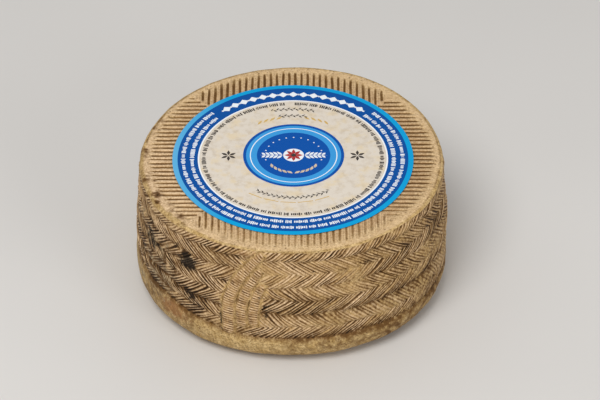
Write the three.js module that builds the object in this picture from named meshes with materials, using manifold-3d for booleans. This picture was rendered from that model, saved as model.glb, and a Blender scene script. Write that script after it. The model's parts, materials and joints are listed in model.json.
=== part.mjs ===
// A semi-cured cheese wheel with a round paper label on its upper face.
// Millimetres, +Z up. The origin is the middle of the underside, and the front is towards -Y.
//
// The rind is a print of its mould. Round the side run seven rows of slanted strands that lean
// one way and then the other, left by a plaited grass band. Where the band's ends overlapped,
// left of the front, stand three curved columns with fine ribs across them. The upper face
// carries straight ridges in four sectors, left by the board that pressed the curd. Below the
// lowest row the rind bulges in a smooth, rounded rim.

import * as THREE from "three";
import { mergeGeometries, mergeVertices } from "three/addons/utils/BufferGeometryUtils.js";
import Module from "manifold-3d";

const wasm = await Module();
wasm.setup();

// ---------- the wheel ----------

const WHEEL_HEIGHT = 84;
// Half the wheel's outline, from the underside up, as [height, radius].
const OUTLINE = [
  [0, 80.6], [2.2, 86], [6.2, 91.6], [12, 94.2], [18, 95],
  [24, 94.6], [42, 95], [60.5, 93.7], [72.2, 92.4], [79, 92.4], [82, 91.5], [83.4, 90.2], [84, 88.2],
];
// How far the wheel is out of round: lobes per turn, cosine share and sine share of the radius.
const LOBES = [
  [2, 0, 0.0064],
  [3, -0.0025, -0.0066],
  [4, -0.0039, -0.0005],
];
const RIM_FACETS = 80;

// ---------- the plaited band's print ----------

const STRANDS_ROUND = 200;
const STRAND_SLOPE = 36; // degrees from level
const STRAND_DEPTH = 0.9;
const FADED_DEPTH = 0.25; // what is left of it where the strands run out
// Heights where one row of strands meets the next, and how far the rind is drawn in there.
// The two deep ones are the furrows below the lowest row and below the middle of the side.
const ROW_EDGES = [
  { height: 21.8, drawnIn: 1.5, depth: FADED_DEPTH },
  { height: 30, drawnIn: 0, depth: STRAND_DEPTH },
  { height: 37.8, drawnIn: 1.3, depth: STRAND_DEPTH },
  { height: 48.5, drawnIn: 0, depth: STRAND_DEPTH },
  { height: 57.2, drawnIn: 0.5, depth: STRAND_DEPTH },
  { height: 66.8, drawnIn: 0, depth: STRAND_DEPTH },
  { height: 76.4, drawnIn: 0.5, depth: STRAND_DEPTH },
  { height: 82, drawnIn: 0.1, depth: FADED_DEPTH },
];
const ROW_WAVER = 1.9; // the middle rows stand this much higher at the left than at the right
const WAVER_PEAK = -75; // degrees from the front, where they stand highest

// ---------- the overlap of the band's ends ----------

const COLUMN_BORDERS = [-26.3, -20.9, -16.2, -11.9]; // degrees from the front, at the foot
const COLUMN_BEND = 36; // height above which the columns curve to the right
const COLUMN_SWEEP = 14.9; // degrees that they have swept at the wheel's top
const COLUMN_CURVE = 2.2; // the power by which they do
const COLUMN_HEIGHTS = [[20.6, 81], [28, 70], [29.5, 60]]; // foot and head of each column
const COLUMN_CROWN = 0.5; // its middle stands this far out of the side
const COLUMN_GROOVE = 1.15; // and its borders lie this deep
const COLUMN_SHOULDER = 0.21; // share of its width that slopes up from each border
const COLUMN_LEVELS = 8;
const COLUMN_ROOT = 4; // depth that a column's solid reaches into the wheel
const COLUMN_FLARE = 0.06; // share of its width by which it is wider down there, on each side
const BED_DEPTH = 2.4; // depth of the bed that is cleared for it
const BED_MARGIN = 0.25; // the bed is narrower by this on each side
const BED_OVERLAP = 0.35; // but reaches this far into the bed on its left
const RIB_PITCH = 1.68;
const RIB_GROOVE_WIDTH = 1;
const RIB_GROOVE_DEPTH = 0.6;
const RIB_SPAN = 0.54; // share of the column's width that the ribs take
const PLAIN_END = 3.2; // length without ribs at a column's foot and head

// ---------- the ridged face ----------

const FACE_PITCH = 3.75;
const FACE_GROOVE_WIDTH = 1.5;
const FACE_GROOVE_DEPTH = 0.9;
const SECTOR_GAP = 1.1; // bare width beside the line between two sectors
const SHORTEST_GROOVE = 3;
const RIDGES_OUTER = 85; // the ridges end at this radius
const RIDGES_INNER = 67; // and the grooves between them start here, under the label

// ---------- the label ----------

const LABEL_RADIUS = 72;
const LABEL_THICKNESS = 0.4;
const LABEL_GAP = 0.3; // air under the paper
const LABEL_OFFSET = { x: 0.5, y: -1.5 };
const LABEL_FACETS = 90;

const radians = THREE.MathUtils.degToRad;

// ---------- the wheel's surface ----------

function outlineRadius(height) {
  const top = OUTLINE.findIndex(([h]) => h >= height);
  if (top < 1) return OUTLINE.at(top)[1];
  const [lowHeight, lowRadius] = OUTLINE[top - 1];
  const [highHeight, highRadius] = OUTLINE[top];
  return THREE.MathUtils.mapLinear(height, lowHeight, highHeight, lowRadius, highRadius);
}

function roundness(turn) {
  const angle = turn - Math.PI / 2;
  const share = ([n, cosine, sine]) => cosine * Math.cos(n * angle) + sine * Math.sin(n * angle);
  return 1 + LOBES.reduce((sum, lobe) => sum + share(lobe), 0);
}

// A point of the rind. turn is the angle from the front towards +X; out moves it off the side.
function rindPoint(turn, height, out = 0) {
  const radius = outlineRadius(height) * roundness(turn) + out;
  return new THREE.Vector3(radius * Math.sin(turn), -radius * Math.cos(turn), height);
}

// How far a row's edge stands above its mean height. The lowest and highest edges are level.
function waver(turn, height) {
  const low = ROW_EDGES[0].height;
  const high = ROW_EDGES.at(-1).height;
  const share = Math.sin((Math.PI * (height - low)) / (high - low));
  return (ROW_WAVER / 2) * share * (1 + Math.cos(turn - radians(WAVER_PEAK)));
}

// ---------- solids from rings ----------

// Closes the strip between two rings of points that run the same way round. Where they have
// different counts, the triangles step along whichever ring has fallen behind.
function zip(lower, upper, triangles) {
  const lowerSteps = lower.length > 1 ? lower.length : 0;
  const upperSteps = upper.length > 1 ? upper.length : 0;
  let low = 0;
  let high = 0;
  while (low < lowerSteps || high < upperSteps) {
    const lowerIsBehind = (low + 0.5) * upperSteps <= (high + 0.5) * lowerSteps;
    const a = lower[low % lower.length];
    const b = upper[high % upper.length];
    if (high >= upperSteps || (low < lowerSteps && lowerIsBehind)) {
      low += 1;
      triangles.push(a, lower[low % lower.length], b);
    } else {
      high += 1;
      triangles.push(a, upper[high % upper.length], b);
    }
  }
}

// A closed surface through a pile of rings, bottom to top, each anticlockwise seen from above.
function ringStack(rings) {
  const sumOf = (ring) => ring.reduce((sum, point) => sum.add(point), new THREE.Vector3());
  const middleOf = (ring) => [sumOf(ring).divideScalar(ring.length)];
  const closed = [middleOf(rings[0]), ...rings, middleOf(rings.at(-1))];
  const triangles = [];
  closed.slice(1).forEach((ring, i) => zip(closed[i], ring, triangles));
  return new THREE.BufferGeometry().setFromPoints(triangles);
}

function solidOf(geometry) {
  const bare = geometry.index ? geometry.toNonIndexed() : geometry.clone();
  bare.deleteAttribute("normal");
  bare.deleteAttribute("uv");
  const merged = mergeVertices(bare, 1e-4);
  return new wasm.Manifold(
    new wasm.Mesh({
      numProp: 3,
      vertProperties: merged.getAttribute("position").array,
      triVerts: new Uint32Array(merged.index.array),
    }),
  );
}

function geometryOf(solid) {
  const mesh = solid.getMesh();
  const geometry = new THREE.BufferGeometry();
  geometry.setAttribute("position", new THREE.BufferAttribute(mesh.vertProperties, 3));
  geometry.setIndex(new THREE.BufferAttribute(mesh.triVerts, 1));
  return geometry;
}

// ---------- the rind with its rows of strands ----------

function smoothRing(height, firstTurn) {
  const point = (_, i) => rindPoint(firstTurn + (i / RIM_FACETS) * 2 * Math.PI, height);
  return Array.from({ length: RIM_FACETS }, point);
}

// Ridges and grooves by turns. The same strand has the same place in every ring of the band.
function strandRing({ height, drawnIn, depth }, firstTurn) {
  const count = 2 * STRANDS_ROUND;
  const point = (_, i) => {
    const turn = firstTurn + (i / count) * 2 * Math.PI;
    const sink = drawnIn + (i % 2 ? depth : 0);
    return rindPoint(turn, height + waver(turn, height), -sink);
  };
  return Array.from({ length: count }, point);
}

function rind() {
  const lowest = ROW_EDGES[0].height;
  const highest = ROW_EDGES.at(-1).height;
  const heights = OUTLINE.map(([height]) => height);
  const rings = heights.filter((h) => h < lowest).map((h) => smoothRing(h, 0));
  let turn = 0;
  ROW_EDGES.forEach((edge, i) => {
    rings.push(strandRing(edge, turn));
    if (i + 1 === ROW_EDGES.length) return;
    const leansRight = i % 2 === 0 ? 1 : -1;
    const run = (ROW_EDGES[i + 1].height - edge.height) / Math.tan(radians(STRAND_SLOPE));
    turn += (leansRight * run) / outlineRadius(edge.height);
  });
  rings.push(...heights.filter((h) => h > highest).map((h) => smoothRing(h, turn)));
  return solidOf(ringStack(rings));
}

// ---------- the ribbed columns ----------

function borderTurn(border, height) {
  const climb = Math.max(0, (height - COLUMN_BEND) / (WHEEL_HEIGHT - COLUMN_BEND));
  return radians(COLUMN_BORDERS[border] + COLUMN_SWEEP * climb ** COLUMN_CURVE);
}

// A column's solid, or the bed that is cleared for it: at each level four points outside and
// two deep in the wheel. crown and border are how far its middle and its borders stand out.
function columnBlock(index, { crown, border, root, flare, margin, marginLeft }) {
  const [foot, head] = COLUMN_HEIGHTS[index];
  const ring = (_, i) => {
    const height = THREE.MathUtils.lerp(foot + margin, head - margin, i / COLUMN_LEVELS);
    const left = borderTurn(index, height) + marginLeft / outlineRadius(height);
    const right = borderTurn(index + 1, height) - margin / outlineRadius(height);
    const isEnd = i === 0 || i === COLUMN_LEVELS;
    const middle = isEnd ? Math.min(crown, 0) : crown;
    const at = (share, out) => rindPoint(THREE.MathUtils.lerp(left, right, share), height, out);
    const shoulders = [at(COLUMN_SHOULDER, middle), at(1 - COLUMN_SHOULDER, middle)];
    return [at(0, border), ...shoulders, at(1, border), at(1 + flare, -root), at(-flare, -root)];
  };
  return solidOf(ringStack(Array.from({ length: COLUMN_LEVELS + 1 }, ring)));
}

function column(index) {
  return columnBlock(index, {
    crown: COLUMN_CROWN,
    border: -COLUMN_GROOVE,
    root: COLUMN_ROOT,
    flare: COLUMN_FLARE,
    margin: 0,
    marginLeft: 0,
  });
}

function columnBed(index) {
  const above = COLUMN_CROWN + STRAND_DEPTH;
  return columnBlock(index, {
    crown: above,
    border: above,
    root: BED_DEPTH,
    flare: 0,
    margin: BED_MARGIN,
    marginLeft: index === 0 ? BED_MARGIN : -BED_OVERLAP,
  });
}

// A three-sided bar that cuts a groove: its section is across X, it cuts down into -Y, and it
// runs along Z from 0 to its length.
function grooveBar(width, depth, length) {
  const section = new THREE.Shape([
    new THREE.Vector2(0, -depth),
    new THREE.Vector2(width, depth),
    new THREE.Vector2(-width, depth),
  ]);
  return new THREE.ExtrudeGeometry(section, { depth: length, bevelEnabled: false });
}

// The grooves between a column's ribs, square to the way that the column runs.
function ribGrooves(index) {
  const [foot, head] = COLUMN_HEIGHTS[index];
  const middle = (height) => (borderTurn(index, height) + borderTurn(index + 1, height)) / 2;
  const bars = [];
  let height = foot + PLAIN_END;
  while (height < head - PLAIN_END) {
    const place = rindPoint(middle(height), height, COLUMN_CROWN);
    const above = rindPoint(middle(height + 1), height + 1, COLUMN_CROWN);
    const along = above.sub(place).normalize();
    const outward = new THREE.Vector3(place.x, place.y, 0).normalize();
    const across = new THREE.Vector3().crossVectors(along, outward).normalize();
    outward.crossVectors(across, along);
    const span = borderTurn(index + 1, height) - borderTurn(index, height);
    const length = RIB_SPAN * span * outlineRadius(height) * along.z;
    const bar = grooveBar(RIB_GROOVE_WIDTH, RIB_GROOVE_DEPTH, length).translate(0, 0, -length / 2);
    bar.applyMatrix4(new THREE.Matrix4().makeBasis(along, outward, across).setPosition(place));
    bars.push(bar);
    height += RIB_PITCH * along.z;
  }
  return solidOf(mergeGeometries(bars));
}

// ---------- the grooves between the ridges of the upper face ----------

// One groove along X, at the distance aside from the axis: from under the label, or from the
// line between two sectors, out to where the ridges end.
function faceGroove(aside) {
  const outer = Math.sqrt(RIDGES_OUTER ** 2 - aside ** 2);
  const underLabel = Math.sqrt(Math.max(0, RIDGES_INNER ** 2 - aside ** 2));
  const inner = Math.max(underLabel, Math.abs(aside) + SECTOR_GAP);
  if (outer - inner < SHORTEST_GROOVE) return [];
  const bar = grooveBar(FACE_GROOVE_WIDTH / 2, FACE_GROOVE_DEPTH, outer - inner);
  bar.rotateX(Math.PI / 2).rotateZ(Math.PI / 2);
  return [bar.translate(inner, aside, WHEEL_HEIGHT)];
}

function faceGrooves() {
  const most = Math.ceil(RIDGES_OUTER / FACE_PITCH);
  const asides = Array.from({ length: 2 * most }, (_, i) => (i + 0.5 - most) * FACE_PITCH);
  const within = asides.filter((aside) => Math.abs(aside) < RIDGES_OUTER * Math.SQRT1_2);
  const quarters = [0, 1, 2, 3].map((quarter) => (quarter * Math.PI) / 2);
  const sector = (angle) => within.flatMap(faceGroove).map((bar) => bar.rotateZ(angle));
  return solidOf(mergeGeometries(quarters.flatMap(sector)));
}

// ---------- the two pieces ----------

function cheeseGeometry() {
  const columns = [...COLUMN_HEIGHTS.keys()];
  let body = rind();
  for (const index of columns) body = body.subtract(columnBed(index));
  for (const index of columns) body = body.add(column(index));
  for (const index of columns) body = body.subtract(ribGrooves(index));
  return geometryOf(body.subtract(faceGrooves()));
}

function labelGeometry() {
  const disc = new THREE.CylinderGeometry(LABEL_RADIUS, LABEL_RADIUS, LABEL_THICKNESS, LABEL_FACETS);
  return disc.rotateX(Math.PI / 2);
}

const cheese = new THREE.Mesh(
  cheeseGeometry(),
  new THREE.MeshStandardMaterial({ color: 0xa58a5c, roughness: 0.75, metalness: 0 }),
);
cheese.name = "cheese_wheel";

const label = new THREE.Mesh(
  labelGeometry(),
  new THREE.MeshStandardMaterial({ color: 0x1f6fb4, roughness: 0.45, metalness: 0 }),
);
label.name = "paper_label";
label.position.set(LABEL_OFFSET.x, LABEL_OFFSET.y, WHEEL_HEIGHT + LABEL_GAP + LABEL_THICKNESS / 2);

// The lobes leave the wheel's box a little off its axis, so both pieces shift to centre it.
const group = new THREE.Group();
cheese.geometry.computeBoundingBox();
const boxCentre = cheese.geometry.boundingBox.getCenter(new THREE.Vector3());
for (const piece of [cheese, label]) {
  piece.position.x -= boxCentre.x;
  piece.position.y -= boxCentre.y;
  group.add(piece);
}

export default group;
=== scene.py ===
# %% [markdown]
# # A semi-cured cheese wheel
# The real thing is a drum of pressed curd about 19 cm across. Its rind is a print of its mould.
# A plaited grass band left rows of slanted strands round the side, and ridged boards left
# straight ridges on both faces. A round paper label is stuck on top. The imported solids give
# every size and place, so the first step loads them as a frame that nothing here moves.

# %% Load the frame
import json
import math

import bpy
import numpy as np
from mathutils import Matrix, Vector, noise

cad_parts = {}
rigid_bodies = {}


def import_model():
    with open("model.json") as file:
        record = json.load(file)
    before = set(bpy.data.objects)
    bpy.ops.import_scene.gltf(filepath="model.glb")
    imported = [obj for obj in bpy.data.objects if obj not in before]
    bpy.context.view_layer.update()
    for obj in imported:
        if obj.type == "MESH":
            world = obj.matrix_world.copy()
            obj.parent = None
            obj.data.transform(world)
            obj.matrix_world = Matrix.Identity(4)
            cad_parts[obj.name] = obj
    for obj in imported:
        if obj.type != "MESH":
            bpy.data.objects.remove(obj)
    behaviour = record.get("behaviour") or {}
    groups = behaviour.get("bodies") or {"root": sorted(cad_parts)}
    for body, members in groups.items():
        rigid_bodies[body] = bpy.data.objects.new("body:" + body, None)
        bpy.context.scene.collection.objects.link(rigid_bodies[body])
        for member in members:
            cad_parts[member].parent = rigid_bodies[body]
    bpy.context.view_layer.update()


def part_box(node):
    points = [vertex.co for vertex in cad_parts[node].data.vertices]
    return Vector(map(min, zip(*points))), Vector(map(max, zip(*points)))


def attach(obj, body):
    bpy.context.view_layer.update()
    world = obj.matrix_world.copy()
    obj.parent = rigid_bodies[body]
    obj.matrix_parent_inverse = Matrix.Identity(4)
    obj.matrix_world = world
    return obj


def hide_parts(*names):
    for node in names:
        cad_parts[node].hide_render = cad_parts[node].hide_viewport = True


bpy.ops.object.select_all(action="SELECT")
bpy.ops.object.delete()
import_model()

# %% [markdown]
# ## Working in millimetres
# A cheese print is a matter of tenths of a millimetre, so sizes are written in millimetres and
# turned into Blender's metres at the last moment. Shapes are started from primitives. Once a
# primitive has enough vertices, the fine relief is easiest to give as a rule for where each
# vertex goes, so these helpers hand a mesh's vertices over as one numpy array and put them back.

# %% Helpers for meshes
MM = 0.001


def deselect_all():
    if bpy.context.mode != "OBJECT":
        bpy.ops.object.mode_set(mode="OBJECT")
    bpy.ops.object.select_all(action="DESELECT")


def make_active(obj):
    deselect_all()
    obj.select_set(True)
    bpy.context.view_layer.objects.active = obj


def in_edit_mode(obj, select="NOTHING", mode="VERT"):
    make_active(obj)
    bpy.ops.object.mode_set(mode="EDIT")
    bpy.ops.mesh.select_mode(type=mode)
    bpy.ops.mesh.select_all(action="SELECT" if select == "ALL" else "DESELECT")


def select_where(obj, domain, chosen):
    """Selects the vertices, edges or faces of obj that chosen marks, and goes back to edit mode."""
    bpy.ops.object.mode_set(mode="OBJECT")
    getattr(obj.data, domain).foreach_set("select", np.asarray(chosen, bool))
    bpy.ops.object.mode_set(mode="EDIT")


def points_of(obj):
    points = np.zeros(len(obj.data.vertices) * 3)
    obj.data.vertices.foreach_get("co", points)
    return points.reshape(-1, 3) / MM


def set_points(obj, points):
    obj.data.vertices.foreach_set("co", (np.asarray(points) * MM).ravel())
    obj.data.update()


def apply_modifier(obj, kind, **settings):
    make_active(obj)
    modifier = obj.modifiers.new(kind.title(), kind)
    for name, value in settings.items():
        setattr(modifier, name, value)
    bpy.ops.object.modifier_apply(modifier=modifier.name)


def cut(obj, tool, operation="DIFFERENCE"):
    """Cuts tool out of obj, or joins it on, and removes the tool."""
    apply_modifier(obj, "BOOLEAN", operation=operation, object=tool, solver="MANIFOLD")
    bpy.data.objects.remove(tool)


def outward(obj):
    in_edit_mode(obj, "ALL")
    bpy.ops.mesh.normals_make_consistent(inside=False)
    bpy.ops.object.mode_set(mode="OBJECT")


def store(obj, **shares):
    """Keeps a number for each vertex, under each name."""
    for name, values in shares.items():
        layer = obj.data.attributes.get(name) or obj.data.attributes.new(name, "FLOAT", "POINT")
        layer.data.foreach_set("value", np.asarray(values, float))


def kept(obj, name):
    values = np.zeros(len(obj.data.vertices))
    obj.data.attributes[name].data.foreach_get("value", values)
    return values


def triangles(obj):
    return sum(len(face.vertices) - 2 for face in obj.data.polygons)


def waves(points, size, octaves=3, seed=0):
    """Smooth random values of about -1 to 1 at points, whose bumps are about size apart."""
    shifted = np.asarray(points) / size + 17.3 * seed
    read = noise.fractal
    return np.array([read(Vector(p), 1.0, 2.0, octaves) for p in shifted])


print("helpers are ready")

# %% [markdown]
# ## The wheel's form
# The outline is half of the drum's cross-section. The real curve has no corners, so a
# Catmull-Rom curve runs through the points. The wheel is also a little out of round, as a
# hand-filled mould leaves it, which a few slow waves round the circumference describe.

# %% Outline and roundness
HEIGHT = 84.0
OUTLINE = np.array([
    (0, 80.6), (2.2, 86), (6.2, 91.6), (12, 94.2), (18, 95), (24, 94.6), (42, 95),
    (60.5, 93.7), (72.2, 92.4), (79, 92.4), (82, 91.5), (83.4, 90.2), (84, 88.2),
])  # height, radius
LOBES = ((2, 0, 0.0064), (3, -0.0025, -0.0066), (4, -0.0039, -0.0005))


def through(points, per_span):
    """A smooth curve through points, as closer points."""
    padded = np.vstack([2 * points[0] - points[1], points, 2 * points[-1] - points[-2]])
    t = np.linspace(0, 1, per_span, endpoint=False)[:, None]
    spans = []
    for a, b, c, d in zip(padded, padded[1:], padded[2:], padded[3:]):
        spans.append(0.5 * (2 * b + (c - a) * t + (2 * a - 5 * b + 4 * c - d) * t**2
                            + (3 * b - a - 3 * c + d) * t**3))
    return np.vstack([*spans, points[-1:]])


SMOOTH_OUTLINE = through(OUTLINE, 12)
SMOOTH_OUTLINE[:, 1] = SMOOTH_OUTLINE[:, 1].clip(max=OUTLINE[:, 1].max())


def outline_radius(height):
    return np.interp(height, SMOOTH_OUTLINE[:, 0], SMOOTH_OUTLINE[:, 1])


def roundness(turn):
    """turn is the angle from the front, -Y, towards +X."""
    angle = turn - math.pi / 2
    return 1 + sum(c * np.cos(n * angle) + s * np.sin(n * angle) for n, c, s in LOBES)


def rind_points(turn, height, out=0.0):
    """Points on the rind's smooth form, moved outwards by out."""
    radius = outline_radius(height) * roundness(turn) + out
    return np.stack([radius * np.sin(turn), -radius * np.cos(turn), height + 0 * turn], axis=-1)


print("widest radius", OUTLINE[:, 1].max(), "mm, height", HEIGHT, "mm")

# %% [markdown]
# ## The plait's print as a rule
# The band's strands lean 36 degrees from level and change sides at each row. Following a strand
# up the wheel, its turn drifts one way in one row and back in the next. If the mesh's columns
# drift with it, a groove runs along a column of vertices, and the relief needs few faces. The
# strands of one row end between those of the next, so every other row is turned by half a strand.

# %% Rows and strands
STRANDS = 200
STRAND_SLOPE = math.radians(36)
STRAND_DEPTH = 0.9
ROW_EDGES = np.array([21.8, 30, 37.8, 48.5, 57.2, 66.8, 76.4, 82])
DRAWN_IN = np.array([1.5, 0, 1.3, 0, 0.5, 0, 0.5, 0.1])
ROW_WAVER = 1.9
CHANCE_WAVER = 0.7
WAVER_PEAK = math.radians(-75)
rows = len(ROW_EDGES) - 1

row_leans = np.where(np.arange(rows) % 2 == 0, 1, -1)
row_runs = row_leans * np.diff(ROW_EDGES) / math.tan(STRAND_SLOPE) / outline_radius(ROW_EDGES[:-1])
EDGE_DRIFT = np.concatenate([[0], np.cumsum(row_runs)])


def waver(turn, level):
    """How far a row rises above its mean height: slowly round the wheel, and a little by chance."""
    share = np.sin(math.pi * (level - ROW_EDGES[0]) / (ROW_EDGES[-1] - ROW_EDGES[0])).clip(min=0)
    chance = CHANCE_WAVER * waves(rind_points(turn, level), 12, 2, seed=14)
    return share * (ROW_WAVER / 2 * (1 + np.cos(turn - WAVER_PEAK)) + chance)


def drift(level):
    """How far a strand has turned round the wheel when it reaches a level."""
    return np.interp(level, ROW_EDGES, EDGE_DRIFT)


print("a strand drifts", np.degrees(EDGE_DRIFT).round(1), "degrees by each row's edge")

# %% [markdown]
# No two strands printed alike. The band is plaited from bunches of three to five blades of
# grass, so the strands lie in bunches too. Each bunch pressed in by its own amount, tilts a
# little under the next, and ends higher or lower than its neighbours, which breaks up the
# straight lines between the rows. All of it comes from a seeded generator, so the wheel is the
# same on every run.

# %% Bunches of strands
FEWEST, MOST = 3, 5
rng = np.random.default_rng(7)
bunch_of = np.zeros((rows, STRANDS), int)
place_in_bunch = np.zeros((rows, STRANDS))
for row in range(rows):
    strand = 0
    bunch = 0
    while strand < STRANDS:
        size = min(int(rng.integers(FEWEST, MOST + 1)), STRANDS - strand)
        bunch_of[row, strand:strand + size] = bunch
        place_in_bunch[row, strand:strand + size] = (np.arange(size) + 0.5) / size
        strand += size
        bunch += 1

bunch_pressed = rng.uniform(0.35, 1.25, (rows, STRANDS))
bunch_stained = rng.random((rows, STRANDS))
bunch_ends = rng.uniform(-0.9, 0.9, (rows + 1, STRANDS))
groove_share = rng.uniform(0.55, 1.25, (rows, STRANDS))
strand_sink = rng.exponential(0.1, (rows, STRANDS)).clip(max=0.4)
groove_stain = rng.random((rows, STRANDS))
strand_pale = rng.random((rows, STRANDS))
groove_open = rng.random((2, rows, STRANDS)) ** 0.6
groove_aside = rng.uniform(-0.16, 0.16, (rows, STRANDS))
strand_fan = np.take_along_axis(rng.uniform(-0.2, 0.2, (rows, STRANDS)), bunch_of, axis=1)
print("bunches in the rows:", bunch_of.max(axis=1) + 1)

# %% [markdown]
# The bunches are laid askew in two ways. Along the row they fan out like fingers, and a groove
# wanders towards one of its two strands. Up and down, each bunch is tucked under the row beside
# it by its own amount. A strand's place is a number from 0 to the count of strands, so its
# fraction tells how far a vertex is on the way from one strand's crest to the next.

# %% Fans and tucks
STEP_IN_BUNCH = 0.8


def of_bunch(values, row, strand):
    return values[row, bunch_of[row, strand]]


def aside(row, strand, share):
    """How far a place is pushed along the row, in strands: bunches fan out, and grooves wander
    towards one of their two strands."""
    first = np.floor(strand).astype(int) % STRANDS
    part = strand - np.floor(strand)
    fan = strand_fan[row, first] * (1 - part) + strand_fan[row, (first + 1) % STRANDS] * part
    return fan * (2 * share - 1) + groove_aside[row, first] * (1 - np.abs(2 * part - 1))


def tuck(strand, level):
    """How far the bunches' ends shift a place up or down. It fades out at the lowest and
    highest edges, which stay level."""
    row = np.clip(np.searchsorted(ROW_EDGES, level, side="right") - 1, 0, rows - 1)
    share = (level - ROW_EDGES[row]) / (ROW_EDGES[row + 1] - ROW_EDGES[row])
    first = np.floor(strand).astype(int) % STRANDS
    part = strand - np.floor(strand)

    def at_edge(edge):
        owner = np.minimum(edge, rows - 1)
        inner = (edge > 0) & (edge < rows)

        def end_of(which):
            step = STEP_IN_BUNCH * (place_in_bunch[owner, which] - 0.5)
            return bunch_ends[edge, bunch_of[owner, which]] + step

        return (end_of(first) * (1 - part) + end_of((first + 1) % STRANDS) * part) * inner

    return at_edge(row) * (1 - share) + at_edge(row + 1) * share


print("the bunches' ends shift by up to", round(float(abs(bunch_ends).max()), 1), "mm")

# %% [markdown]
# The curd bulged away from the band here and there, which leaves the print faint, and the side
# as a whole is a little lumpy. At the left a patch is worn and mouldy, and little of its print is
# left. Smooth noise at a few sizes gives the bulges and lumps, and the patch is a soft spot.

# %% Where the print is strong
ROW_STRENGTH = np.array([1, 0.5, 1.1, 0.75, 1.1, 0.7, 1])


def row_strength(row, turn):
    """Past the columns, the rows that lean to the left pressed less than their neighbours."""
    degrees = np.degrees(turn)
    past = np.minimum((degrees + 15) / 20, (175 - degrees) / 30).clip(0, 1)
    return 1 - past * (1 - ROW_STRENGTH[row])


def worn_patch(points):
    """1 in the middle of the worn, mouldy patch at the left, where little of the print is left."""
    degrees = np.degrees(np.arctan2(points[..., 0], -points[..., 1]))
    near_it = np.exp(-(((degrees + 62) / 17) ** 2) - ((points[..., 2] - 49) / 20) ** 2)
    return near_it * (0.8 + 1.5 * waves(points, 8, 2, seed=24)).clip(0, 1)


def print_strength(points):
    """1 where the band pressed well, down to nearly 0 where its print is lost."""
    even = 0.82 + 0.9 * waves(points, 20, 2, seed=1) + 0.6 * waves(points, 7, 2, seed=30)
    even = even.clip(0.08, 1.15)
    return even * (1 - 0.88 * worn_patch(points))


def lumps(points):
    """How far the rind sinks below its smooth form, without the print."""
    slow = 0.4 + 0.45 * waves(points, 22, 3, seed=2).clip(-0.9, 1)
    return slow + worn_patch(points) * (0.45 + 0.9 * waves(points, 5.5, 2, seed=25).clip(-0.5, 1))


print("the faintest row keeps", ROW_STRENGTH.min(), "of its print past the columns")

# %% [markdown]
# The relief of a place is what its strand, its bunch and its row's edge take away. A groove is
# deepest in its middle and fades towards its ends. The strands also dip at the rows' edges,
# where they pass under the next row, and each bunch leans a little.

# %% How deep the print is
END_DEPTH = 0.55
BUNCH_TILT = 0.45
BETWEEN_BUNCHES = 0.35
OPEN_SHARE = 0.28


def shake(points):
    """Strands aren't quite straight: how far the print is turned out of place, in radians."""
    return 0.009 * waves(points, 9, 2, seed=3)


def beside_groove(strand):
    """1 in the middle of the groove between two strands, 0 on a strand's crest."""
    return 1 - np.abs(strand % 1 - 0.5) * 2


def open_end(row, groove, share):
    """A groove fades towards its two ends, each by its own amount, so rows don't join in lines."""
    low, high = groove_open[:, row, groove]
    from_low = low + (1 - low) * (share / OPEN_SHARE).clip(0, 1)
    from_high = high + (1 - high) * ((1 - share) / OPEN_SHARE).clip(0, 1)
    return np.minimum(from_low, from_high)


def drawn_in(row, share):
    """The side is drawn in at the rows' edges, in a narrow furrow, and swells between them."""
    return DRAWN_IN[row] * (1 - share) ** 2.5 + DRAWN_IN[row + 1] * share**2.5


def print_depth(row, share, strand, level, strength):
    """How far the print sinks a place below the smooth rind, in millimetres."""
    crest = np.round(strand).astype(int) % STRANDS
    groove = np.floor(strand).astype(int) % STRANDS
    profile = beside_groove(strand) ** 1.7
    runs_out = np.minimum((level - ROW_EDGES[0]) / 1.8, (ROW_EDGES[-1] - level) / 0.6).clip(0.05, 1)
    between = bunch_of[row, groove] != bunch_of[row, (groove + 1) % STRANDS]
    pressed = of_bunch(bunch_pressed, row, crest) * strength
    ends = END_DEPTH * np.abs(2 * share - 1) ** 4
    tilt = BUNCH_TILT * place_in_bunch[row, crest] * strength
    deep = STRAND_DEPTH * (groove_share[row, groove] * pressed + BETWEEN_BUNCHES * between) * profile
    deep = deep * open_end(row, groove, share)
    low_strand = strand_sink[row, crest] * (1 - profile)
    return drawn_in(row, share) + runs_out * (ends + tilt + deep + low_strand)


print("grooves are", round(STRAND_DEPTH * groove_share.mean(), 2), "mm deep on average")

# %% [markdown]
# ## The side of the wheel
# A tube with six columns of vertices for each strand is the start. A smooth tube with a
# displacement texture would do too, but every groove would then need a dozen faces across it.
# Moving the columns along with the strands gives sharp grooves from a light mesh.

# %% The side
def tube(name, around, segments, ends="NOTHING"):
    """An upright tube of height 1 whose walls are cut into the product of segments levels."""
    deselect_all()
    bpy.ops.mesh.primitive_cylinder_add(vertices=around, radius=1, depth=1, end_fill_type=ends)
    made = bpy.context.object
    made.name = name
    for count in segments:
        z = points_of(made)[:, 2] * MM
        edges = np.array([edge.vertices[:] for edge in made.data.edges])
        in_edit_mode(made, mode="EDGE")
        select_where(made, "edges", abs(z[edges[:, 0]] - z[edges[:, 1]]) > 1e-4)
        bpy.ops.mesh.subdivide(number_cuts=count - 1)
        bpy.ops.object.mode_set(mode="OBJECT")
    return made


def places_on(made, around, levels):
    """Each vertex's column and level in a tube."""
    raw = points_of(made) * MM
    turn = np.arctan2(raw[:, 0], -raw[:, 1])
    column = np.round(turn * around / (2 * math.pi)).astype(int)
    return column, np.round((raw[:, 2] + 0.5) * levels).astype(int)


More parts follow.
